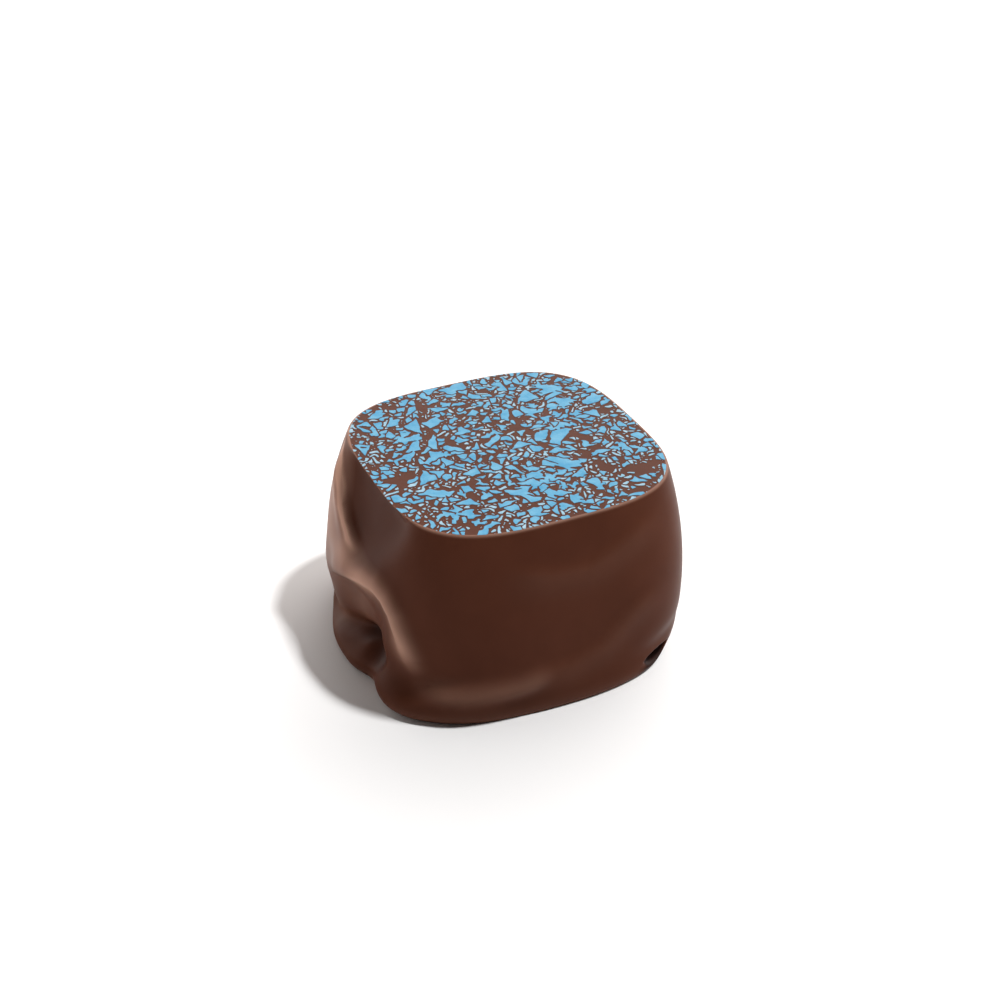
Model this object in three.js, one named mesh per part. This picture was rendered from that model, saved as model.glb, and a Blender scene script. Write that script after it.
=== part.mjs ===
// A square of fudge dipped in milk chocolate, one solid piece.
// The coat was pressed flat on top under a printed film, bulges and sags on its way down, and
// spreads into a soft foot where it set on the tray.
// Millimetres and degrees, +Z up, base on z = 0, origin at the middle of the footprint.
// Angles run round the piece from +X (the right side) over +Y (the back); the broad front faces -Y.

import * as THREE from 'three';

// Driving dimensions
const TOP_HALF_WIDTH = 12.5;      // half the width of the flat printed top
const HEIGHT = 17.6;
const SQUARENESS = 3.34;          // superellipse exponent of the top's outline: 2 is a circle
const TOP_CENTRE = [0.945, 0.1];  // middle of the top, seen from the middle of the footprint
const WIDEST_DROP = 0.64;         // share of the height below the rim where the belly is widest
const RIM_HOLD = 0.5;             // depth below the rim in which folds and hollows set in
const BASE_ROUNDING = 0.3;        // how far the coat tucks in where it meets the tray
const RIM_ROUNDING = 0.12;        // soft edge round the pressed top
const MM_PER_DEGREE = 0.26;       // length of one degree along the wall
const FADE_SHARE = 0.25;          // share of a fold's length over which it fades at each end

// Grid of the faceted surface
const STEPS_ROUND = 132;
const STEPS_UP = 32;
const RING_CROWDING = 0.45;       // 0 spaces the rings evenly, 1 crowds them most at rim and base

// Coat round the eight sides: how far the belly swells out of the top's outline, how far the
// foot spreads beyond the belly, the height where the foot begins, and how gently it flares out.
const SIDES = [
  { side: 'right', belly: 1.65, foot: 0.2, footTop: 2.4, ease: 0.8 },
  { side: 'back right', belly: 1.7, foot: 0.4, footTop: 2.2, ease: 0.6 },
  { side: 'back', belly: 1.8, foot: 0.7, footTop: 2.6, ease: 0.6 },
  { side: 'back left', belly: 2.35, foot: 0.2, footTop: 2.0, ease: 0.45 },
  { side: 'left', belly: 2.45, foot: 2.05, footTop: 1.7, ease: 0.45 },
  { side: 'front left', belly: 2.0, foot: 1.35, footTop: 2.9, ease: 0.55 },
  { side: 'front', belly: 1.65, foot: 1.6, footTop: 1.6, ease: 1.7 },
  { side: 'front right', belly: 1.9, foot: 0.5, footTop: 1.6, ease: 1.0 },
];

// Round swellings and hollows: where they lie, their half widths along and up the wall, the
// turn of the oval (0 where none is given), the steepness of its edge (1 where none is given), and
// how far they rise (hollows fall).
const SWELLS = [
  { name: 'scoop under the left rim', angle: 184, height: 17.4, along: 7, up: 5.9, edge: 3, rise: -1.25 },
  { name: 'bulge at the left', angle: 180, height: 9.6, along: 5, up: 1.8, turn: 6, edge: 1.3, rise: 0.5 },
  { name: 'arch at the left', angle: 189, height: 5, along: 4.8, up: 3.6, turn: 14, edge: 1.6, rise: -0.9 },
  { name: 'pocket in the coat', angle: 200, height: 3.2, along: 2, up: 1.5, edge: 1.7, rise: -1.1 },
  { name: 'slot by the pocket', angle: 188, height: 3, along: 1.6, up: 0.6, turn: 14, edge: 1.4, rise: -0.5 },
  { name: 'notch over the foot', angle: 153, height: 1.5, along: 1.5, up: 0.7, rise: -0.5 },
  { name: 'bulge at the back left', angle: 152, height: 5.4, along: 2.6, up: 2.2, rise: 0.32 },
  { name: 'taper above the undercut', angle: 309, height: 2.5, along: 3, up: 1.3, rise: -0.35 },
  { name: 'waist of the foot', angle: 199.5, height: 0.6, along: 1.8, up: 1.5, rise: -0.8 },
  { name: 'lobe right of the waist', angle: 216, height: 0.8, along: 2.4, up: 1.8, rise: 0.75 },
  { name: 'flat of the front foot', angle: 243, height: 0.8, along: 4, up: 1.8, rise: -0.55 },
  { name: 'tuck under the front right', angle: 318, height: 0.2, along: 3, up: 1.3, rise: -0.5 },
  { name: 'undercut at the front right', angle: 306.5, height: 1, along: 2.2, up: 0.9, turn: -8, rise: -1 },
  { name: 'sag at the back', angle: 78, height: 6.5, along: 5, up: 2.2, turn: 14, rise: 0.3 },
  { name: 'dip in the back foot', angle: 104, height: 2.8, along: 3, up: 1, rise: -0.45 },
  { name: 'dip under the right rim', angle: 24, height: 13.5, along: 4.5, up: 2.2, turn: 6, rise: -0.25 },
];

// Folds: soft ridges, or clefts where the rise is negative, along a line of [angle, height]. They
// are wider on one side of the line than on the other; left and right are those of a walk along
// the line, seen from outside.
const FOLDS = [
  {
    name: 'ridge from the left corner down to its crease',
    line: [
      [147, 17.2], [152, 15.6], [156, 14.5], [161, 13.6], [166, 12.8], [174, 12], [182, 11.5], [188, 11.4],
    ],
    left: 0.5, right: 1.3, rise: 0.5,
  },
  {
    name: 'crest over the arch',
    line: [
      [152, 5.4], [162, 6.6], [170, 7.6], [176, 8.4], [184, 9.3], [190, 9.9], [196, 10.4], [203, 10.7],
      [208, 10.3], [212, 9.2], [215, 7.4], [217.5, 5.4], [221, 3.9], [226, 3.2],
    ],
    left: 1.2, right: 0.7, rise: 0.6,
  },
  {
    name: 'crest along the foot',
    line: [[218, 4.2], [223, 3.3], [232, 3.1], [248, 3.3], [262, 3.9]],
    left: 1, right: 0.9, rise: 0.3,
  },
  {
    name: 'cleft over the left foot',
    line: [
      [150, 1], [158, 1.3], [164, 1.5], [170, 1.8], [176, 2.2], [182, 2.7], [188, 3.2], [194, 3.7],
      [200, 3.8], [204, 3.3], [206, 2.2],
    ],
    left: 0.9, right: 0.6, rise: -0.9,
  },
  {
    name: 'high swag across the front',
    line: [[309, 15.4], [297, 15], [287, 13.9], [276, 12.9], [260, 13.2], [240, 14.6]],
    left: 1.6, right: 0.8, rise: 0.24,
  },
  {
    name: 'low swag across the front',
    line: [[306, 9.6], [292, 7.5], [281, 4.9], [267, 3.9], [246, 4]],
    left: 1.6, right: 0.8, rise: 0.24,
  },
];

// The pocket's right edge hangs over it: the wall is drawn sideways there.
const LIP = { angle: 209, height: 4.6, along: 1.5, up: 1.9, pull: -1 };

const CHOCOLATE = new THREE.MeshStandardMaterial({ color: 0x5b3827, roughness: 0.38, metalness: 0 });

const radians = THREE.MathUtils.degToRad;

// Signed difference of two angles, -180 to 180 degrees.
function angleBetween(angle, from) {
  return ((((angle - from + 180) % 360) + 360) % 360) - 180;
}

// Half cosine weights share a value between the two nearest of the eight sides.
function blendOfSides(angle, value) {
  const stepBetween = 360 / SIDES.length;
  return SIDES.reduce((sum, side, index) => {
    const away = Math.abs(angleBetween(angle, index * stepBetween));
    if (away >= stepBetween) return sum;
    const share = Math.cos(radians(90 * away / stepBetween)) ** 2;
    return sum + share * side[value];
  }, 0);
}

// A hill or hollow on an oval, turned on the wall; a high edge makes it flat with a steep side.
function swell(angle, height, { turn = 0, edge = 1, ...form }) {
  const along = angleBetween(angle, form.angle) * MM_PER_DEGREE;
  const up = height - form.height;
  const cos = Math.cos(radians(turn));
  const sin = Math.sin(radians(turn));
  const across = (cos * along + sin * up) / form.along;
  const steep = (cos * up - sin * along) / form.up;
  return form.rise * Math.exp(-((across ** 2 + steep ** 2) ** edge));
}

// A ridge or cleft that falls away as a Gaussian of the distance from its line and fades at both
// ends.
function fold(angle, height, form) {
  const here = new THREE.Vector2(angle * MM_PER_DEGREE, height);
  const line = form.line.map(([a, h]) => new THREE.Vector2(a * MM_PER_DEGREE, h));
  const total = line.slice(1).reduce((sum, end, i) => sum + end.distanceTo(line[i]), 0);
  let nearest = { distance: Infinity, width: form.left, along: 0 };
  let walked = 0;
  for (let i = 1; i < line.length; i++) {
    const run = line[i].clone().sub(line[i - 1]);
    const to = here.clone().sub(line[i - 1]);
    const t = THREE.MathUtils.clamp(to.dot(run) / run.lengthSq(), 0, 1);
    const distance = to.distanceTo(run.clone().multiplyScalar(t));
    if (distance < nearest.distance) {
      const width = run.cross(to) > 0 ? form.left : form.right;
      nearest = { distance, width, along: (walked + t * run.length()) / total };
    }
    walked += run.length();
  }
  const fade = THREE.MathUtils.smoothstep(Math.min(nearest.along, 1 - nearest.along), 0, FADE_SHARE);
  return form.rise * fade * Math.exp(-((nearest.distance / nearest.width) ** 2));
}

// How far the wall stands out of the top's outline: a parabola for the belly, a smooth step for
// the foot, the relief of swells and folds below the rim, and small tucks at the base and the rim.
function standOut(angle, height) {
  const drop = (HEIGHT - height) / HEIGHT;
  const belly = blendOfSides(angle, 'belly') * (1 - (1 - drop / WIDEST_DROP) ** 2);
  const flare = 1 / (1 + Math.exp((height - blendOfSides(angle, 'footTop')) / blendOfSides(angle, 'ease')));
  const foot = blendOfSides(angle, 'foot') * flare;
  const swells = SWELLS.reduce((sum, form) => sum + swell(angle, height, form), 0);
  const folds = FOLDS.reduce((sum, form) => sum + fold(angle, height, form), 0);
  const relief = (swells + folds) * (1 - Math.exp((height - HEIGHT) / RIM_HOLD));
  const baseTuck = BASE_ROUNDING * Math.exp(-height / BASE_ROUNDING);
  const rimTuck = RIM_ROUNDING * Math.exp(-(HEIGHT - height) / RIM_ROUNDING);
  return belly + foot + relief - baseTuck - rimTuck;
}

// A point of the wall: on the top's superellipse outline, then out along the outline's normal
// and, at the lip, along the outline itself.
function wallPoint(angle, height) {
  const cos = Math.cos(radians(angle));
  const sin = Math.sin(radians(angle));
  const squared = Math.abs(cos) ** SQUARENESS + Math.abs(sin) ** SQUARENESS;
  const radius = TOP_HALF_WIDTH * squared ** (-1 / SQUARENESS);
  const power = SQUARENESS - 1;
  const normal = new THREE.Vector2(
    Math.sign(cos) * Math.abs(cos) ** power,
    Math.sign(sin) * Math.abs(sin) ** power,
  ).normalize();
  const out = standOut(angle, height);
  const alongLip = angleBetween(angle, LIP.angle) * MM_PER_DEGREE / LIP.along;
  const upLip = (height - LIP.height) / LIP.up;
  const pull = LIP.pull * Math.exp(-(alongLip ** 2) - upLip ** 2);
  return [
    TOP_CENTRE[0] + radius * cos + normal.x * out - normal.y * pull,
    TOP_CENTRE[1] + radius * sin + normal.y * out + normal.x * pull,
    height,
  ];
}

// Heights of the rings, closer together at the rim and at the base than on the belly.
function ringHeight(ring) {
  const share = ring / STEPS_UP;
  const eased = 0.5 - 0.5 * Math.cos(Math.PI * share);
  return HEIGHT * THREE.MathUtils.lerp(share, eased, RING_CROWDING);
}

// The closed skin: rings of the wall, with a fan over the flat top and one under the flat base.
function squareGeometry() {
  const positions = [];
  const index = [];
  for (let ring = 0; ring <= STEPS_UP; ring++) {
    for (let step = 0; step < STEPS_ROUND; step++) {
      positions.push(...wallPoint(360 * step / STEPS_ROUND, ringHeight(ring)));
    }
  }
  const corner = (ring, step) => ring * STEPS_ROUND + (step % STEPS_ROUND);
  for (let ring = 0; ring < STEPS_UP; ring++) {
    for (let step = 0; step < STEPS_ROUND; step++) {
      const a = corner(ring, step);
      const b = corner(ring, step + 1);
      const c = corner(ring + 1, step + 1);
      const d = corner(ring + 1, step);
      index.push(a, b, c, a, c, d);
    }
  }
  const baseMiddle = positions.length / 3;
  positions.push(...TOP_CENTRE, 0);
  const topMiddle = baseMiddle + 1;
  positions.push(...TOP_CENTRE, HEIGHT);
  for (let step = 0; step < STEPS_ROUND; step++) {
    index.push(baseMiddle, corner(0, step + 1), corner(0, step));
    index.push(topMiddle, corner(STEPS_UP, step), corner(STEPS_UP, step + 1));
  }
  const geometry = new THREE.BufferGeometry();
  geometry.setAttribute('position', new THREE.Float32BufferAttribute(positions, 3));
  geometry.setIndex(index);
  geometry.computeVertexNormals();
  return geometry;
}

const fudgeSquare = new THREE.Group();
const square = new THREE.Mesh(squareGeometry(), CHOCOLATE);
square.name = 'chocolate_square';
fudgeSquare.add(square);

export default fudgeSquare;
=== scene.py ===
"""A square of fudge dipped in milk chocolate, its flat top printed with light blue flecks.

Shapes are worked out in millimetres and stored in metres. Angles run in degrees round the piece from
+X, the right side, over +Y, the back; the broad front faces -Y. The origin is the middle of the
footprint and +Z is up.
"""

import bpy
import numpy as np
from bpy.props import FloatProperty, FloatVectorProperty, IntProperty, PointerProperty
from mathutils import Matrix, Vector


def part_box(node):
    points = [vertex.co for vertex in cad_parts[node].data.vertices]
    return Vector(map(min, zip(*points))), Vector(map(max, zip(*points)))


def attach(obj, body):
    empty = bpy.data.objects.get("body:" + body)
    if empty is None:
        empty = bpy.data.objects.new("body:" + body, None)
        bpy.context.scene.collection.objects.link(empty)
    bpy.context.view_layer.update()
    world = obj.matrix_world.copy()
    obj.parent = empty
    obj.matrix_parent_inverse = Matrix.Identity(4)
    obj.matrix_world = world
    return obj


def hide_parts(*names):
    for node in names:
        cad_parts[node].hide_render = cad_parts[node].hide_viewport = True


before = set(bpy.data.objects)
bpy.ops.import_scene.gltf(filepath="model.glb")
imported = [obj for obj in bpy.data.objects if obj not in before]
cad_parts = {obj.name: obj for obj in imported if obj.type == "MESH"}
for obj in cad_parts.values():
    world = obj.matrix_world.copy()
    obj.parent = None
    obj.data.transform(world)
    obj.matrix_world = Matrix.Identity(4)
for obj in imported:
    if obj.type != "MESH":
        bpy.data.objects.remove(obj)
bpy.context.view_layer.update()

bl_info = {
    "name": "Fudge Square",
    "version": (1, 0, 0),
    "blender": (4, 5, 0),
    "location": "View3D > Sidebar > Fudge",
    "description": "Makes a chocolate coated fudge square with a flecked top",
    "category": "Add Mesh",
}

MM = 0.001
NODE = "chocolate_square"
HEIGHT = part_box(NODE)[1][2] / MM

# ------------------------------------------------------------------ the coat's form, in mm and degrees
SQUARENESS = 3.34           # superellipse exponent of the top's outline: 2 is a circle
TOP_CENTRE = (0.945, 0.1)   # middle of the top, seen from the middle of the footprint
WIDEST_DROP = 0.64          # share of the height below the rim where the belly is widest
RIM_HOLD = 0.5              # depth below the rim in which folds and hollows set in
BASE_ROUNDING = 0.3         # how far the coat tucks in where it meets the floor
RIM_RADIUS = 0.16           # round edge of the pressed top
MM_PER_DEGREE = 0.26        # length of one degree along the wall
FADE_SHARE = 0.25           # share of a fold's length over which it fades at each end
RING_CROWDING = 0.4         # how much the wall's rings crowd towards base and rim: 0 is even
RIM_RINGS = 8               # rings round the edge of the top
# Rings over a flat, each as a share of the flat's outline.
FLAT_RINGS = (0.993, 0.97, 0.9, 0.75, 0.55, 0.35, 0.15, 0.04)

# The eight sides from the right side on, an eighth of a turn apart: how far the belly swells out of
# the top's outline, how far the foot spreads beyond the belly, where the foot begins, and over what
# height it eases out of the wall.
SIDES = {
    "right": (1.65, 0.2, 2.4, 0.8),
    "back right": (1.7, 0.4, 2.2, 0.6),
    "back": (1.8, 0.7, 2.6, 0.6),
    "back left": (2.35, 0.2, 2.0, 0.45),
    "left": (2.45, 2.05, 1.7, 0.45),
    "front left": (2.0, 1.35, 2.9, 0.55),
    "front": (1.65, 1.6, 1.6, 1.7),
    "front right": (1.9, 0.5, 1.6, 1.0),
}

# Round swellings and hollows: angle and height of the middle, half widths along and up the wall,
# turn of the oval, steepness of its edge, rise (a hollow falls), and how much painted light is laid
# on the coat there (painted shade has a negative value).
SWELLS = {
    # a real hollow under the rim's overhang, with painted shade in it
    "scoop under the left rim": (184, 17.4, 7.0, 5.9, 0, 3, -1.25, -0.25),
    # a real bulge, with painted light on it
    "bulge at the left": (180, 9.6, 5, 1.8, 6, 1.3, 0.5, 0.27),
    # painted light only: a pool of light on the top of the bulge
    "pale top of the bulge": (178, 10.4, 3.6, 1.2, 10, 1, 0, 0.28),
    # painted light only: the lit flank behind the ridge
    "flank behind the ridge": (151, 11.5, 3.8, 5.5, 0, 1, 0, 0.54),
    "arch over the left foot": (189, 5.0, 4.8, 3.6, 14, 1.6, -0.9, 0),
    # a real hollow, with painted shade in the pocket
    "pocket where the coat hangs free": (200, 3.2, 2.0, 1.5, 0, 1.7, -1.1, -0.58),
    "notch over the foot": (153, 1.5, 1.5, 0.7, 0, 1, -0.5, 0),
    "bulge at the back left": (152, 5.4, 2.6, 2.2, 0, 1, 0.32, 0),
    "taper above the undercut": (309, 2.5, 3, 1.3, 0, 1, -0.35, 0),
    "waist of the foot": (199.5, 0.6, 1.8, 1.5, 0, 1, -0.8, 0),
    # painted light only, on the crease
    "crease at the back of the left foot": (162, 1.9, 2, 0.9, 0, 1, 0, 0.18),
    # painted light only, on the underside of the bulge
    "underside of the bulge": (182, 5.8, 4, 2.2, 14, 1, 0, 0.14),
    # a real slot, with painted shade in it
    "slot on the left of the pocket": (188, 3.0, 1.6, 0.6, 14, 1.4, -0.5, -0.8),
    "lobe right of the waist": (216, 0.8, 2.4, 1.8, 0, 1, 0.75, 0),
    "flat of the front foot": (243, 0.8, 4, 1.8, 0, 1, -0.55, 0),
    "tuck under the front right": (318, 0.2, 3, 1.3, 0, 1, -0.5, 0),
    # a real undercut, with painted shade in it
    "undercut at the front right": (306.5, 1.0, 1.7, 0.65, -8, 3, -1.2, -1),
    "shade below the undercut": (305.5, 0.5, 1.9, 0.9, 0, 3, 0, -1),
    "sag at the back": (78, 6.5, 5, 2.2, 14, 1, 0.3, 0),
    "dip in the back foot": (104, 2.8, 3, 1, 0, 1, -0.45, 0),
    "dip under the right rim": (24, 13.5, 4.5, 2.2, 6, 1, -0.25, 0),
}

# Lines on the wall, as (angle, height).
RIDGE = (
    (147, 17.2), (152, 15.6), (156, 14.5), (161, 13.6), (166, 12.8), (174, 12.0), (182, 11.5), (188, 11.4),
)
# the line of the painted highlight along the ridge
HIGHLIGHT_RIDGE = (
    (140, 18.3), (145, 17.2), (149, 16.6), (153, 15.8), (156, 15.0), (160, 14.2), (164, 13.1), (170, 12.2),
    (176, 11.7), (182, 11.4), (188, 11.3),
)
CREST = (
    (152, 5.4), (162, 6.6), (170, 7.6), (176, 8.4), (184, 9.3), (190, 9.9), (196, 10.4), (203, 10.7),
    (208, 10.3), (212, 9.2), (215, 7.4), (217.5, 5.4), (221, 3.9), (226, 3.2),
)
HIGHLIGHT_CREST = CREST[4:13]    # the painted highlight, over the top of the crest and down to the front foot
FOOT_CREST = ((218, 4.2), (223, 3.3), (232, 3.1), (248, 3.3), (262, 3.9))
CLEFT = (
    (150, 1.0), (158, 1.3), (164, 1.5), (170, 1.8), (176, 2.2), (182, 2.7), (188, 3.2), (194, 3.7),
    (200, 3.8), (204, 3.3), (206, 2.2),
)
HIGH_SWAG = ((309, 15.4), (297, 15), (287, 13.9), (276, 12.9), (260, 13.2), (240, 14.6))
LOW_SWAG = ((306, 9.6), (292, 7.5), (281, 4.9), (267, 3.9), (246, 4))

# Folds: soft ridges, or clefts where the rise is negative. Each has its line, a width on the left and
# one on the right of a walk along the line, seen from outside, a rise, and how much painted light is
# laid along it (painted shade where it is negative).
FOLDS = {
    # a real ridge, with a painted highlight along it
    "ridge from the left corner down to its crease": (RIDGE, 0.5, 1.3, 0.5, 0.28),
    # painted highlight only: a thin bright line on the ridge
    "worn line on the ridge": (HIGHLIGHT_RIDGE, 0.25, 0.25, 0, 1.0),
    "crest over the arch": (CREST, 1.2, 0.7, 0.6, 0),
    # painted highlight only: a bright line over the crest
    "worn line on the crest": (HIGHLIGHT_CREST, 0.8, 1.0, 0, 0.72),
    # a real crest, with painted light along it
    "crest along the foot": (FOOT_CREST, 1.0, 0.9, 0.3, 0.18),
    "cleft over the left foot": (CLEFT, 0.9, 0.6, -0.9, 0),
    # real swags, with faint painted light on them
    "high swag across the front": (HIGH_SWAG, 1.6, 0.8, 0.24, 0.04),
    # faint painted light on this swag too
    "low swag across the front": (LOW_SWAG, 1.6, 0.8, 0.24, 0.04),
}

# The pocket's right edge hangs over it: angle, height, half widths along and up, and the pull along
# the outline, negative towards smaller angles.
LIP = (209, 4.6, 1.5, 1.9, -1.0)

# Painted light near the rim and near the base: over what height, and how much.
RIM_PAINTED_LIGHT = (0.12, 0.36)
BASE_PAINTED_LIGHT = (0.9, 0.11)

# ------------------------------------------------------------------ the print's flecks, in mm
# The print is built up from shards: flecks, thin slivers, and thin cuts through the shards below. A
# pair is the smallest and the largest value. Lengths and widths of shards are halves.
FLECK_SIZE = (0.15, 0.26)
FLECK_LENGTH = 1.2          # half length of a fleck of size 1 before it is stretched
FLECK_WIDTH = 1.1           # and its half width
SMALL_SHARE = 1.2           # power that makes small flecks more common than large ones
STRETCH = 14.0              # most that a fleck is stretched by, beyond 1
SLIVERS = 0.12              # share of the shards that are slivers
SLIVER_LENGTH = (0.2, 0.55)
SLIVER_WIDTH = (0.05, 0.10)
CUTS = 0.14                 # share of the shards that are cuts
CUT_LENGTH = (0.4, 1.1)
CUT_WIDTH = (0.04, 0.08)
GAP = (0.15, 0.20)          # chocolate left bare round a shard that lies on others
SHARD_SIDES = (3, 6)
SIDE_TURN = 0.4             # how far a shard's sides commonly turn from even spacing, in radians
SIDE_REACH = (0.5, 1.0)     # how far out its sides lie, as shares of its oval
ROOM_SHARE = 1.3            # the field is worked out round a shard this far, as a share of its length,
ROOM_MARGIN = 0.3           # and this much farther
REACH = 0.20                # how far from a shard's edge the field still grows
DEEP_FROM = 0.12            # half width of the narrowest fleck in the deep blue; narrower ones are pale
GROWN = 0.6                 # how far a wide fleck's deep blue runs into its narrow ends
PRINT_MARGIN = 0.15         # from the print to the rim
GRID_MARGIN = 0.1           # from the rim to the edge of the grid
WARP = 0.06                 # how far the edges waver
WARP_LENGTH = 1.0           # length of the waves in them
WAVES = 16                  # plane waves summed into one smooth noise
WAVE_RATES = (0.6, 1.5)     # their rates, as shares of the noise's own rate
SUNK_SHARE = 0.2            # share of the film's thickness that lies in the coat
MERGE_ANGLE = 9.0           # turn in degrees up to which edges of the flat print are made straight

# Where the flecks crowd together: middle, radius and strength.
CROWDED = (
    (8.0, 7.0, 2.4, 1), (6.5, 4.5, 2.2, 1), (4.5, 0.5, 2.0, 0.7), (-9.5, 8.0, 2.4, 0.8), (-7, 4.8, 1.6, 0.7),
    (1, -7.0, 2.4, 0.9), (3.0, -9.0, 2.2, 0.9), (-8.5, -9.5, 1.8, 0.6), (-5, 0.5, 1.8, 0.5),
    (9.8, -4.2, 1.8, 0.6),
)
GROWTH = 0.7                # how much larger the flecks are there
FEWER_GAPS = 0.5            # what share of the gaps is missing there
FEWER_CUTS = 0.2            # what share of the cuts is missing there

# Bare ovals: middle and half widths.
BARE = (
    (-4.0, 9.5, 0.35, 1.1), (-9.9, -1.3, 0.5, 0.45), (9.0, -7.9, 1.8, 0.45), (-1.2, 1.6, 0.5, 0.4),
    (5.6, -4.4, 0.6, 0.3), (2.3, 9.9, 0.5, 0.35), (-5.8, -6.2, 0.4, 0.7), (7.0, -11.0, 0.9, 0.3),
)
BARE_MARGIN = 0.05          # how far the bare place reaches beyond its oval

# ------------------------------------------------------------------ the finish
# Noise: repeats in a metre, and octaves.
CLOUDS = (160.0, 3.0)
SMEARS = (420.0, 4.0)
GRAIN = (2400.0, 2.0)
PATCHES = (900.0, 2.0)
FINE_GRAIN = (5200.0, 2.0)
CLOUD_CONTRAST = 2.2        # of the coat's two tones
PATCH_CONTRAST = 2.4        # of the print's two blues
GRAIN_CONTRAST = 0.9        # and of the grain in them
SMEARED_HIGHLIGHT = 0.2          # how much the smears break up the painted highlight
GRAIN_IN_SKIN = 0.35        # height of the grain in the coat's skin; the smears have 1
# Roughness where the noise is 0, and how much is added where it is 1.
COAT_ROUGHNESS = (0.30, 0.12)
PRINT_ROUGHNESS = (0.38, 0.1)
# The uneven skin: strength, and depth in mm.
COAT_SKIN = (0.2, 0.03)
PRINT_SKIN = (0.15, 0.01)
SHEEN = 0.03                # the low specular level of a bloomed, satin surface
CARD_WHITE = 0.9
CARD_ROUGHNESS = 0.9

# ------------------------------------------------------------------ the light and the camera
# Glows low behind the piece: the way to each, the cosine at which it begins, and its strength.
GLOWS = {
    "behind, to the right": ((0.70, 0.70, -0.10), 0.23, 4.9),
    "behind, to the left": ((-0.64, 0.77, -0.10), 0.55, 2.6),
}
KEY_WAY = (0.41, -0.17, 1.0)    # the way to the lamp above
# The point that the camera looks at, in mm.
CAMERA_AIM = (TOP_CENTRE[0] + 0.32, TOP_CENTRE[1] + 1.7, 10.96)
SENSOR_WIDTH = 36           # in mm
NEAREST = 0.01              # in metres: what is nearer to the camera isn't drawn


def angle_between(angles, start):
    """Signed difference of angles, from -180 up to 180 degrees."""
    return (angles - start + 180) % 360 - 180


def blend_of_sides(angles):
    """Belly, foot, foot top and ease at each angle: squared cosines share a value between two sides."""
    step = 360 / len(SIDES)
    away = np.abs(angle_between(angles[..., None], step * np.arange(len(SIDES))))
    share = np.where(away < step, np.cos(np.radians(90 * away / step)) ** 2, 0)
    return np.moveaxis(share @ np.array(list(SIDES.values())), -1, 0)


def swell(angles, heights, form):
    """A hill of height 1 that falls off as exp(-d^(2 edge)), with d the distance from its middle,
    measured in half widths on an oval that is turned on the wall."""
    angle, height, along, up, turn, edge = form
    u = angle_between(angles, angle) * MM_PER_DEGREE
    v = heights - height
    cos, sin = np.cos(np.radians(turn)), np.sin(np.radians(turn))
    return np.exp(-((((cos * u + sin * v) / along) ** 2 + ((cos * v - sin * u) / up) ** 2) ** edge))


def fold(angles, heights, form):
    """A ridge of height 1 that falls off as a Gaussian of the distance from its line, and fades as a
    smooth step at both ends."""
    line, left, right = form
    corners = np.array(line) * (MM_PER_DEGREE, 1)
    runs = np.diff(corners, axis=0)
    lengths = np.hypot(*runs.T)
    walked = np.concatenate([[0], np.cumsum(lengths)])
    nearest = np.full(angles.shape, np.inf)
    width = np.zeros(angles.shape)
    share = np.zeros(angles.shape)
    for start, run, length, before in zip(corners, runs, lengths, walked):
        u = angles % 360 * MM_PER_DEGREE - start[0]
        v = heights - start[1]
        t = np.clip((u * run[0] + v * run[1]) / length**2, 0, 1)
        distance = np.hypot(u - t * run[0], v - t * run[1])
        closer = distance < nearest
        nearest = np.where(closer, distance, nearest)
        width = np.where(closer, np.where(run[0] * v - run[1] * u > 0, left, right), width)
        share = np.where(closer, (before + t * length) / walked[-1], share)
    fade = np.clip(np.minimum(share, 1 - share) / FADE_SHARE, 0, 1)
    return fade**2 * (3 - 2 * fade) * np.exp(-((nearest / width) ** 2))


def relief_and_painted_shading(angles, heights):
    """The sum of all swells and folds, each times its rise, and the painted light and shade: the sum of each
    times its gain, with painted light near the rim and the base.
    """
    relief = np.zeros(angles.shape)
    painted_shading = np.zeros(angles.shape)
    for shape, forms in ((swell, SWELLS), (fold, FOLDS)):
        for *form, rise, shading_gain in forms.values():
            amount = shape(angles, heights, form)
            relief += rise * amount
            painted_shading += shading_gain * amount
    for (over, gain), away in ((RIM_PAINTED_LIGHT, HEIGHT - heights), (BASE_PAINTED_LIGHT, heights)):
        painted_shading += gain * np.exp(-((away / over) ** 2))
    return relief, painted_shading


def wall_points(angles, heights, half_width):
    """Points of the wall and their painted light and shade. A point starts on the top's superellipse and
    moves out along its normal, by a parabola for the belly, a smooth step for the foot, the relief, a tuck at
    the base and a quarter circle at the rim. At the lip it also moves along the outline."""
    cos, sin = np.cos(np.radians(angles)), np.sin(np.radians(angles))
    power = SQUARENESS - 1
    radius = half_width * (np.abs(cos) ** SQUARENESS + np.abs(sin) ** SQUARENESS) ** (-1 / SQUARENESS)
    normal = np.stack([np.sign(cos) * np.abs(cos) ** power, np.sign(sin) * np.abs(sin) ** power])
    normal /= np.hypot(*normal)
    belly, foot, foot_top, ease = blend_of_sides(angles)
    relief, painted_shading = relief_and_painted_shading(angles, heights)
    drop = (HEIGHT - heights) / HEIGHT
    out = belly * (1 - (1 - drop / WIDEST_DROP) ** 2)
    out += foot / (1 + np.exp((heights - foot_top) / ease))
    out += relief * (1 - np.exp((heights - HEIGHT) / RIM_HOLD))
    out -= BASE_ROUNDING * np.exp(-heights / BASE_ROUNDING)
    into_rim = np.clip((heights - HEIGHT) / RIM_RADIUS + 1, 0, 1)
    out -= RIM_RADIUS * (1 - np.sqrt(1 - into_rim**2))
    angle, height, along, up, pull = LIP
    u = angle_between(angles, angle) * MM_PER_DEGREE / along
    aside = pull * np.exp(-(u**2) - ((heights - height) / up) ** 2)
    x = TOP_CENTRE[0] + radius * cos + normal[0] * out - normal[1] * aside
    y = TOP_CENTRE[1] + radius * sin + normal[1] * out + normal[0] * aside
    return np.stack([x, y, heights], -1), painted_shading


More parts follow.
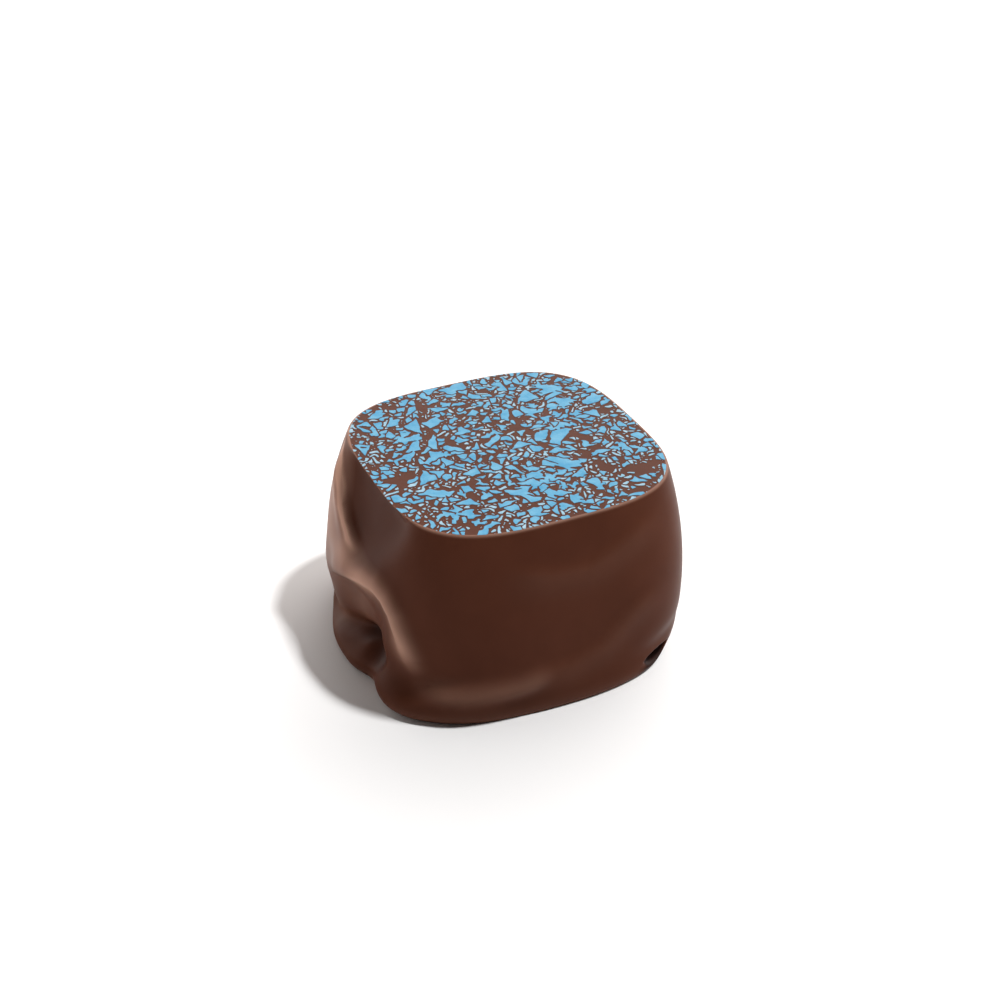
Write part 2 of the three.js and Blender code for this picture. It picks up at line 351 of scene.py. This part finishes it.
def ring_faces(rings, steps):
    """Quads between neighbouring rings of a grid whose columns close on themselves."""
    ring, step = np.meshgrid(np.arange(rings - 1), np.arange(steps), indexing="ij")
    after = (step + 1) % steps
    quads = [ring * steps + step, ring * steps + after, (ring + 1) * steps + after, (ring + 1) * steps + step]
    return np.stack(quads, -1).reshape(-1, 4)


def ring_heights(steps_up):
    """Heights of the rings up the wall, crowded towards both ends by a half wave of a cosine, and of the
    rings round the edge of the top, at even turns of its quarter circle."""
    low = HEIGHT - RIM_RADIUS
    climb = np.linspace(0, 1, steps_up)
    crowded = (1 - np.cos(np.pi * climb)) / 2
    wall = low * ((1 - RING_CROWDING) * climb + RING_CROWDING * crowded)
    rim = low + RIM_RADIUS * np.sin(np.linspace(0, np.pi / 2, RIM_RINGS + 1))[1:]
    return np.concatenate([wall, rim])


def coat_mesh(coat):
    """The closed skin: rings over the flat base, up the wall and over the flat top, each flat closed by
    a fan of triangles. Rings on a flat are the wall's end drawn in towards the middle."""
    steps = coat.steps_round
    angles, heights = np.meshgrid(np.arange(steps) * 360 / steps, ring_heights(coat.steps_up))
    wall, painted_shading = wall_points(angles, heights, coat.half_width / MM)
    shares = np.array(FLAT_RINGS)[:, None, None]
    low_middle = np.array([*TOP_CENTRE, 0])
    high_middle = np.array([*TOP_CENTRE, HEIGHT])
    base = low_middle + (wall[0] - low_middle) * shares[::-1]
    top = high_middle + (wall[-1] - high_middle) * shares
    grid = np.concatenate([base, wall, top])
    tones = np.concatenate([np.zeros(base.shape[:2]), painted_shading, np.zeros(top.shape[:2])])
    points = np.vstack([grid.reshape(-1, 3), low_middle, high_middle])
    step = np.arange(steps)
    after = (step + 1) % steps
    last = (len(grid) - 1) * steps
    low_fan = np.stack([np.full(steps, len(points) - 2), after, step], -1)
    high_fan = np.stack([np.full(steps, len(points) - 1), last + step, last + after], -1)
    faces = [*ring_faces(len(grid), steps).tolist(), *low_fan.tolist(), *high_fan.tolist()]
    return points, faces, np.append(tones.ravel(), [0, 0])


def wave_noise(x, y, length, random):
    """Smooth noise of about unit size: plane waves of about one length in all directions, summed."""
    ways = random.uniform(0, 2 * np.pi, WAVES)
    phases = random.uniform(0, 2 * np.pi, WAVES)
    rates = random.uniform(*WAVE_RATES, WAVES) * 2 * np.pi / length
    total = np.zeros_like(x)
    for way, phase, rate in zip(ways, phases, rates):
        total += np.sin(rate * (np.cos(way) * x + np.sin(way) * y) + phase)
    return total / np.sqrt(WAVES / 2)


def scatter_shards(look, half_width, random):
    """Shards in passes over a jittered grid, as one array for each measure: middle, half length and
    width, turn, number of sides, the bare gap round a shard, and whether it cuts instead of printing."""
    starts = np.arange(-half_width, half_width, look.spacing / MM)
    grid = np.stack(np.meshgrid(starts, starts), -1).reshape(-1, 2)
    middles = np.concatenate([random.permutation(grid) for _ in range(look.passes)])
    middles = middles + random.uniform(0, look.spacing / MM, middles.shape)
    count = len(middles)
    x, y = middles.T
    crowd = sum(weight * np.exp(-((x - a) ** 2 + (y - b) ** 2) / r**2) for a, b, r, weight in CROWDED)
    crowd = np.clip(crowd, 0, 1)
    kind = random.random(count)
    cut = kind > 1 - CUTS * (1 - FEWER_CUTS * crowd)
    sliver = kind < SLIVERS
    low, high = FLECK_SIZE
    size = low + (high - low) * random.random(count) ** SMALL_SHARE * (1 + GROWTH * crowd)
    stretch = 1 + STRETCH * random.random(count)
    gapped = random.random(count) < 1 - FEWER_GAPS * crowd
    kinds = [cut, sliver]
    lengths = [random.uniform(*span, count) for span in (CUT_LENGTH, SLIVER_LENGTH)]
    widths = [random.uniform(*span, count) for span in (CUT_WIDTH, SLIVER_WIDTH)]
    fewest, most = SHARD_SIDES
    return {
        "x": x,
        "y": y,
        "length": np.select(kinds, lengths, FLECK_LENGTH * size * np.sqrt(stretch)),
        "width": np.select(kinds, widths, FLECK_WIDTH * size / np.sqrt(stretch)),
        "turn": random.uniform(0, np.pi, count),
        "sides": random.integers(fewest, most + 1, count),
        "gap": np.where(gapped, random.uniform(*GAP, count), 0),
        "cut": cut,
    }


def shard_field(u, v, length, width, turn, sides, random):
    """The greatest of the distances past a shard's straight sides, at places u and v from its middle. A
    side lies square to its own way, out to a share of the shard's oval."""
    p = np.cos(turn) * u + np.sin(turn) * v
    q = np.cos(turn) * v - np.sin(turn) * u
    ways = np.linspace(0, 2 * np.pi, sides, endpoint=False) + random.normal(0, SIDE_TURN, sides)
    reach = np.hypot(np.cos(ways) * length, np.sin(ways) * width) * random.uniform(*SIDE_REACH, sides)
    past = np.cos(ways)[:, None, None] * p + np.sin(ways)[:, None, None] * q - reach[:, None, None]
    return past.max(0)


def grown(mask):
    """The mask spread by one grid step each way along both axes."""
    spread = mask.copy()
    for axis in (0, 1):
        for way in (1, -1):
            spread |= np.roll(mask, way, axis)
    return spread


def softened(field):
    """The field averaged with its neighbours along both axes, in shares of 1, 2 and 1."""
    for axis in (0, 1):
        field = (np.roll(field, 1, axis) + 2 * field + np.roll(field, -1, axis)) / 4
    return field


def join_shards(field, wavy_x, wavy_y, shards, step, random):
    """Each shard in turn is joined to the field by a minimum, after its bare gap is cleared by a maximum.
    A cut is a maximum with the shard turned inside out. Only the part of the grid round it is touched."""
    count = len(field)
    for a, b, length, width, turn, sides, gap, cut in zip(*shards.values()):
        room = int((ROOM_SHARE * length + ROOM_MARGIN) / step) + 1
        column, row = int(a / step + count / 2), int(b / step + count / 2)
        rows = slice(max(row - room, 0), max(row + room + 1, 0))
        columns = slice(max(column - room, 0), max(column + room + 1, 0))
        u, v = wavy_x[rows, columns] - a, wavy_y[rows, columns] - b
        shard = shard_field(u, v, length, width, turn, sides, random)
        patch = field[rows, columns]
        if cut:
            np.maximum(patch, -shard, out=patch)
            continue
        if gap:
            np.maximum(patch, gap - shard, out=patch)
        np.minimum(patch, shard, out=patch)


def split_by_width(field, step):
    """The field of the wide flecks and that of the narrow ones. The wide flecks are those that the places
    deeper than DEEP_FROM grow back into, step by step."""
    wide = field < -DEEP_FROM
    for _ in range(int(GROWN / step)):
        wide = grown(wide) & (field < 0)
    wide = grown(wide)
    return np.where(wide, field, REACH), np.where(wide, REACH, field)


def print_fields(look, half_width):
    """Grid coordinates and two fields, negative inside the wide flecks and inside the narrow ones. The
    shards are joined on a wavering grid, bare ovals are cleared, the outlines are softened, and the print
    ends a little inside the rim."""
    random = np.random.default_rng(look.seed)
    step = look.grid_step / MM
    count = int(2 * (half_width + GRID_MARGIN) / step)
    line = (np.arange(count) - count / 2 + 0.5) * step
    x, y = np.meshgrid(line, line)
    wavy_x = x + WARP * wave_noise(x, y, WARP_LENGTH, random)
    wavy_y = y + WARP * wave_noise(x, y, WARP_LENGTH, random)
    field = np.full(x.shape, REACH)
    join_shards(field, wavy_x, wavy_y, scatter_shards(look, half_width, random), step, random)
    for a, b, along, up in BARE:
        oval = np.hypot((wavy_x - a) / along, (wavy_y - b) / up) - 1
        field = np.maximum(field, BARE_MARGIN - oval * min(along, up))
    field = np.clip(field, -REACH, REACH)
    for _ in range(look.softening):
        field = softened(field)
    outline = (np.abs(x) ** SQUARENESS + np.abs(y) ** SQUARENESS) ** (1 / SQUARENESS)
    field = np.maximum(field, outline - (half_width - PRINT_MARGIN))
    return x, y, split_by_width(field, step)


def filled_outlines(x, y, field):
    """Flat faces over the part of the grid where the field is negative. Each cell is two triangles. A
    triangle that the outline crosses is cut where the field, taken as linear along a side, is zero."""
    rows, columns = field.shape
    value = field.ravel()
    node = np.arange(value.size).reshape(rows, columns)
    a, b, c, d = node[:-1, :-1], node[:-1, 1:], node[1:, 1:], node[1:, :-1]
    corners = np.concatenate([np.stack(t, -1).reshape(-1, 3) for t in ((a, b, c), (a, c, d))])
    inside = value[corners] < 0
    number = inside.sum(1)
    whole = corners[number == 3]
    partial = (number == 1) | (number == 2)
    corners, inside, number = corners[partial], inside[partial], number[partial]
    odd = np.where(number == 1, inside.argmax(1), (~inside).argmax(1))
    first, second, third = (np.take_along_axis(corners, (odd[:, None] + k) % 3, 1)[:, 0] for k in range(3))
    sides = np.sort(np.concatenate([np.stack([first, second], -1), np.stack([third, first], -1)]), 1)
    unique, crossing = np.unique(sides, axis=0, return_inverse=True)
    crossing = crossing.reshape(2, -1) + value.size
    start, end = unique.T
    share = (value[start] / (value[start] - value[end]))[:, None]
    flat = np.stack([x.ravel(), y.ravel()], -1)
    points = np.concatenate([flat, flat[start] * (1 - share) + flat[end] * share])
    one = number == 1
    tips = np.stack([first, crossing[0], crossing[1]], -1)[one]
    stumps = np.stack([crossing[0], second, third, crossing[1]], -1)[~one]
    named = np.concatenate([whole.ravel(), tips.ravel(), stumps.ravel()])
    used, renamed = np.unique(named, return_inverse=True)
    whole, tips, stumps = np.split(renamed, np.cumsum([whole.size, tips.size]))
    faces = [*whole.reshape(-1, 3).tolist(), *tips.reshape(-1, 3).tolist(), *stumps.reshape(-1, 4).tolist()]
    return points[used], faces


class Signal:
    """A number socket of a node tree. Arithmetic on it adds Math nodes."""

    def __init__(self, nodes, socket):
        self.nodes = nodes
        self.socket = socket

    def maths(self, operation, *values, clamp=False):
        """A Math node on numbers and signals."""
        settings = {"operation": operation, "use_clamp": clamp}
        node = self.nodes.node("ShaderNodeMath", settings, dict(enumerate(values)))
        return Signal(self.nodes, node.outputs[0])

    def __add__(self, other):
        return self.maths("ADD", self, other)

    __radd__ = __add__

    def __sub__(self, other):
        return self.maths("SUBTRACT", self, other)

    def __rsub__(self, other):
        return self.maths("SUBTRACT", other, self)

    def __mul__(self, other):
        return self.maths("MULTIPLY", self, other)

    __rmul__ = __mul__

    def clamped(self):
        """The value held between 0 and 1."""
        return self.maths("ADD", self, 0.0, clamp=True)


class Nodes:
    """One node tree, emptied. node() adds any node from its type, its settings and its sockets."""

    def __init__(self, tree):
        self.tree = tree
        tree.nodes.clear()

    def node(self, kind, settings, sockets):
        node = self.tree.nodes.new(kind)
        for name, value in settings.items():
            setattr(node, name, value)
        for name, value in sockets.items():
            if isinstance(value, Signal):
                self.tree.links.new(value.socket, node.inputs[name])
            elif isinstance(value, bpy.types.NodeSocket):
                self.tree.links.new(value, node.inputs[name])
            else:
                node.inputs[name].default_value = value
        return node

    def noise(self, place, scale, detail):
        """Smooth noise of a point's place, about 0.5."""
        node = self.node("ShaderNodeTexNoise", {}, {"Vector": place, "Scale": scale, "Detail": detail})
        return Signal(self, node.outputs[0])

    def blend(self, share, first, second):
        """One colour turning into another."""
        node = self.node("ShaderNodeMix", {"data_type": "RGBA"}, {0: share, 6: first, 7: second})
        return node.outputs[2]

    def satin(self, colour, roughness, height, skin):
        """A satin surface whose skin is uneven by a height, put out as the material's surface."""
        strength, depth = skin
        bump = {"Strength": strength, "Distance": depth * MM, "Height": height}
        shader = self.node("ShaderNodeBsdfPrincipled", {}, {
            "Base Color": colour,
            "Roughness": roughness,
            "Specular IOR Level": SHEEN,
            "Normal": self.node("ShaderNodeBump", {}, bump).outputs[0],
        })
        self.finish(shader)

    def finish(self, shader):
        """The shader put out as the material's surface."""
        self.node("ShaderNodeOutputMaterial", {}, {"Surface": shader.outputs[0]})


def opaque(colour):
    """The colour with an alpha of 1."""
    return (*colour, 1.0)


def new_material(name):
    """A material and its node tree, emptied."""
    material = bpy.data.materials.new(name)
    material.use_nodes = True
    return material, Nodes(material.node_tree)


def milk_chocolate(coat):
    """Chocolate with cloudy tones, painted light on crests, edges and lit places and painted shade in its
    hollows, and a fine uneven skin."""
    material, nodes = new_material("milk_chocolate")
    place = nodes.node("ShaderNodeTexCoord", {}, {}).outputs["Object"]
    painted_shading = Signal(nodes, nodes.node("ShaderNodeAttribute", {"attribute_name": "painted_shading"}, {}).outputs["Fac"])
    cloud = nodes.noise(place, *CLOUDS)
    smear = nodes.noise(place, *SMEARS)
    grain = nodes.noise(place, *GRAIN)
    clouded = ((cloud - 0.5) * CLOUD_CONTRAST + 0.5).clamped()
    body = nodes.blend(clouded, opaque(coat.dark_tone), opaque(coat.light_tone))
    # painted highlight: towards a pale tone where the painted shading is positive, broken up by the smears
    highlight_share = (painted_shading + (smear - 0.5) * SMEARED_HIGHLIGHT * painted_shading).clamped()
    painted_highlight = nodes.blend(highlight_share, body, opaque(coat.painted_highlight_tone))
    # painted shade: towards a dark tone where the painted shading is negative
    colour = nodes.blend((0.0 - painted_shading).clamped(), painted_highlight, opaque(coat.painted_shade_tone))
    least, more = COAT_ROUGHNESS
    nodes.satin(colour, smear * more + least, grain * GRAIN_IN_SKIN + smear, COAT_SKIN)
    return material


def cocoa_butter(name, deep, pale):
    """Coloured cocoa butter, paler and darker in small patches, with a faint grain."""
    material, nodes = new_material(name)
    place = nodes.node("ShaderNodeTexCoord", {}, {}).outputs["Object"]
    patch = nodes.noise(place, *PATCHES)
    grain = nodes.noise(place, *FINE_GRAIN)
    share = ((patch - 0.5) * PATCH_CONTRAST + (grain - 0.5) * GRAIN_CONTRAST + 0.5).clamped()
    least, more = PRINT_ROUGHNESS
    nodes.satin(nodes.blend(share, opaque(deep), opaque(pale)), grain * more + least, grain, PRINT_SKIN)
    return material


def white_card():
    """Plain white card without sheen."""
    material, nodes = new_material("white_card")
    nodes.finish(nodes.node("ShaderNodeBsdfPrincipled", {}, {
        "Base Color": opaque([CARD_WHITE] * 3),
        "Roughness": CARD_ROUGHNESS,
        "Specular IOR Level": 0.0,
    }))
    return material


def add_piece(name, points, faces, material, smooth):
    """A mesh object at the origin from points in millimetres."""
    mesh = bpy.data.meshes.new(name)
    mesh.from_pydata((points * MM).tolist(), [], faces)
    mesh.polygons.foreach_set("use_smooth", np.full(len(mesh.polygons), smooth))
    mesh.update()
    mesh.materials.append(material)
    piece = bpy.data.objects.new(name, mesh)
    bpy.context.scene.collection.objects.link(piece)
    return piece


def add_film(name, flat, faces, material, thickness):
    """A film over flat faces, sunk a little into the coat's top. Its flat faces are merged first,
    then it is thickened."""
    level = HEIGHT - SUNK_SHARE * thickness / MM
    points = np.column_stack([flat + TOP_CENTRE, np.full(len(flat), level)])
    film = add_piece(name, points, faces, material, False)
    merge = film.modifiers.new("merge flat faces", "DECIMATE")
    merge.decimate_type = "DISSOLVE"
    merge.angle_limit = np.radians(MERGE_ANGLE)
    body = film.modifiers.new("thickness", "SOLIDIFY")
    body.thickness = thickness
    body.offset = 1.0
    return film


def turned_towards(item, way):
    """The lamp or camera turned so that it looks back along the way."""
    item.rotation_mode = "QUATERNION"
    item.rotation_quaternion = Vector(way).to_track_quat("Z", "Y")
    return item


def add_floor(stage):
    """A square floor at the height of the base."""
    half = stage.floor_size / MM / 2
    square = np.array([(-half, -half, 0), (half, -half, 0), (half, half, 0), (-half, half, 0)])
    return add_piece("floor", square, [(0, 1, 2, 3)], white_card(), False)


def add_key(stage):
    """The lamp above, a small soft sun."""
    lamp = bpy.data.lights.new("key", "SUN")
    lamp.energy = stage.key_strength
    lamp.angle = stage.key_softness
    key = turned_towards(bpy.data.objects.new("key", lamp), KEY_WAY)
    bpy.context.scene.collection.objects.link(key)


def add_room(stage):
    """The light from all round, with the glows. A glow sets in as a smooth step of the cosine between
    the way looked in and its own."""
    world = bpy.data.worlds.new("room")
    world.use_nodes = True
    nodes = Nodes(world.node_tree)
    way = nodes.node("ShaderNodeTexCoord", {}, {}).outputs["Generated"]
    light = stage.room_light
    for aim, edge, strength in GLOWS.values():
        ways = {0: way, 1: Vector(aim).normalized()}
        side = nodes.node("ShaderNodeVectorMath", {"operation": "DOT_PRODUCT"}, ways)
        glow = nodes.node(
            "ShaderNodeMapRange",
            {"interpolation_type": "SMOOTHSTEP"},
            {"Value": side.outputs["Value"], "From Min": edge, "To Max": strength},
        )
        light = Signal(nodes, glow.outputs[0]) + light
    sky = nodes.node("ShaderNodeBackground", {}, {"Color": opaque(stage.room_tint), "Strength": light})
    nodes.node("ShaderNodeOutputWorld", {}, {"Surface": sky.outputs[0]})
    bpy.context.scene.world = world


def add_camera(stage):
    """The camera, set back from its aim along its own line of sight."""
    camera = bpy.data.cameras.new("camera")
    camera.sensor_width = SENSOR_WIDTH
    camera.lens = stage.lens
    camera.clip_start = NEAREST
    level = np.cos(stage.elevation)
    back = Vector((np.sin(stage.azimuth) * level, -np.cos(stage.azimuth) * level, np.sin(stage.elevation)))
    eye = turned_towards(bpy.data.objects.new("camera", camera), back)
    eye.location = Vector(CAMERA_AIM) * MM + back * stage.distance
    bpy.context.scene.collection.objects.link(eye)
    bpy.context.scene.camera = eye


class CoatSettings(bpy.types.PropertyGroup):
    """Settings of the chocolate coat."""

    half_width: FloatProperty(
        name="Half width", description="Half the width of the flat top", default=12.5 * MM, min=MM,
        subtype="DISTANCE", unit="LENGTH", precision=4)
    steps_round: IntProperty(name="Steps round", description="Points in each ring", default=440, min=24)
    steps_up: IntProperty(name="Steps up", description="Rings from the base to the rim", default=170, min=12)
    dark_tone: FloatVectorProperty(
        name="Dark tone", description="Chocolate where its clouds are darkest",
        subtype="COLOR", default=(0.077, 0.0235, 0.0124))
    light_tone: FloatVectorProperty(
        name="Light tone", description="Chocolate where its clouds are palest",
        subtype="COLOR", default=(0.093, 0.0297, 0.0160))
    # the colour of the painted highlight on crests, edges and lit places
    painted_highlight_tone: FloatVectorProperty(
        name="Highlight tone", description="Chocolate on crests and edges",
        subtype="COLOR", default=(0.526, 0.305, 0.226))
    # the colour of the painted shade in the hollows, the slot and the undercut
    painted_shade_tone: FloatVectorProperty(
        name="Deep tone", description="Chocolate in the hollows",
        subtype="COLOR", default=(0.022, 0.0085, 0.0065))


class PrintSettings(bpy.types.PropertyGroup):
    """Settings of the printed flecks."""

    grid_step: FloatProperty(
        name="Grid step", description="Spacing of the grid that the outlines are found on", default=0.05 * MM,
        subtype="DISTANCE", unit="LENGTH", precision=5)
    spacing: FloatProperty(
        name="Spacing", description="Distance between neighbouring shards of one pass", default=0.46 * MM,
        subtype="DISTANCE", unit="LENGTH", precision=5)
    passes: IntProperty(name="Passes", description="Times the top is covered with shards", default=5, min=1)
    softening: IntProperty(name="Softening", description="Times the outlines are smoothed", default=1, min=0)
    seed: IntProperty(name="Seed", description="Changes the scatter of the flecks", default=5)
    thickness: FloatProperty(
        name="Thickness", description="Thickness of the print", default=0.03 * MM,
        subtype="DISTANCE", unit="LENGTH", precision=5)
    deep_blue: FloatVectorProperty(
        name="Deep blue", description="Wide flecks where they are thick",
        subtype="COLOR", default=(0.075, 0.295, 0.485))
    light_blue: FloatVectorProperty(
        name="Light blue", description="Wide flecks where they are thin",
        subtype="COLOR", default=(0.15, 0.385, 0.55))
    pale_blue: FloatVectorProperty(
        name="Pale blue", description="Narrow flecks where they are thick",
        subtype="COLOR", default=(0.20, 0.40, 0.52))
    milky_blue: FloatVectorProperty(
        name="Milky blue", description="Narrow flecks where they are thin",
        subtype="COLOR", default=(0.34, 0.50, 0.60))


class StageSettings(bpy.types.PropertyGroup):
    """Settings of the floor, the light and the camera."""

    floor_size: FloatProperty(
        name="Floor size", description="Side of the floor", default=3.0, subtype="DISTANCE", unit="LENGTH")
    key_strength: FloatProperty(
        name="Key strength", description="Light of the lamp above", default=2.6, min=0)
    key_softness: FloatProperty(
        name="Key softness", description="Width of the lamp above", default=np.radians(5.5),
        subtype="ANGLE", unit="ROTATION")
    room_light: FloatProperty(name="Room light", description="Light from all round", default=0.02, min=0)
    room_tint: FloatVectorProperty(
        name="Room tint", description="Colour of the glows and the room",
        subtype="COLOR", default=(1.0, 0.95, 0.92))
    azimuth: FloatProperty(
        name="Azimuth", description="Turn of the camera from the front, to the right",
        default=np.radians(-24.67), subtype="ANGLE", unit="ROTATION")
    elevation: FloatProperty(
        name="Elevation", description="Height of the camera as an angle", default=np.radians(32.92),
        subtype="ANGLE", unit="ROTATION")
    distance: FloatProperty(
        name="Distance", description="From the camera to the point it looks at", default=130 * MM,
        subtype="DISTANCE", unit="LENGTH")
    lens: FloatProperty(
        name="Lens", description="Focal length", default=51.91, subtype="DISTANCE_CAMERA", unit="CAMERA")


class FUDGE_OT_dip_square(bpy.types.Operator):
    """Make the fudge's chocolate coat, with its flat top, sagging wall and spread foot"""

    bl_idname = "fudge.dip_square"
    bl_label = "Dip the square"

    def execute(self, context):
        coat = context.scene.fudge_coat
        points, faces, tones = coat_mesh(coat)
        piece = add_piece("chocolate_coat", points, faces, milk_chocolate(coat), True)
        # the painted light and shade of each point, read by the chocolate's material
        painted_shading = piece.data.attributes.new("painted_shading", "FLOAT", "POINT")
        painted_shading.data.foreach_set("value", tones)
        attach(piece, "root")
        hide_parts(NODE)
        return {"FINISHED"}


class FUDGE_OT_print_flecks(bpy.types.Operator):
    """Print the light blue flecks on the coat's flat top"""

    bl_idname = "fudge.print_flecks"
    bl_label = "Print the flecks"

    def execute(self, context):
        look = context.scene.fudge_print
        x, y, fields = print_fields(look, context.scene.fudge_coat.half_width / MM)
        blues = cocoa_butter("printed_blue", look.deep_blue, look.light_blue)
        milks = cocoa_butter("printed_pale_blue", look.pale_blue, look.milky_blue)
        for name, field, material in zip(("blue_flecks", "pale_flecks"), fields, (blues, milks)):
            piece = add_film(name, *filled_outlines(x, y, field), material, look.thickness)
            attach(piece, "root")
        return {"FINISHED"}


class FUDGE_OT_set_stage(bpy.types.Operator):
    """Set the pale floor, the light and the camera"""

    bl_idname = "fudge.set_stage"
    bl_label = "Set the stage"

    def execute(self, context):
        stage = context.scene.fudge_stage
        floor = add_floor(stage)
        add_key(stage)
        add_room(stage)
        context.scene.view_settings.view_transform = "Standard"
        add_camera(stage)
        return {"FINISHED"}


class FUDGE_PT_square(bpy.types.Panel):
    """The steps that make the fudge square, with their settings"""

    bl_label = "Fudge Square"
    bl_space_type = "VIEW_3D"
    bl_region_type = "UI"
    bl_category = "Fudge"

    def draw(self, context):
        for step, settings in STEPS:
            box = self.layout.box()
            box.operator(step.bl_idname)
            group = getattr(context.scene, settings)
            for name in group.__annotations__:
                box.prop(group, name)


STEPS = (
    (FUDGE_OT_dip_square, "fudge_coat"),
    (FUDGE_OT_print_flecks, "fudge_print"),
    (FUDGE_OT_set_stage, "fudge_stage"),
)
GROUPS = {"fudge_coat": CoatSettings, "fudge_print": PrintSettings, "fudge_stage": StageSettings}
CLASSES = (*GROUPS.values(), *(step for step, _ in STEPS), FUDGE_PT_square)


def register():
    """Add the settings, the operators and the panel to Blender."""
    for each in CLASSES:
        bpy.utils.register_class(each)
    for name, group in GROUPS.items():
        setattr(bpy.types.Scene, name, PointerProperty(type=group))


def unregister():
    """Take them out again."""
    for name in GROUPS:
        delattr(bpy.types.Scene, name)
    for each in reversed(CLASSES):
        bpy.utils.unregister_class(each)


def main():
    """Register the add-on, then make the square on its stage."""
    register()
    bpy.ops.fudge.dip_square()
    bpy.ops.fudge.print_flecks()
    bpy.ops.fudge.set_stage()


if __name__ == "__main__":
    main()
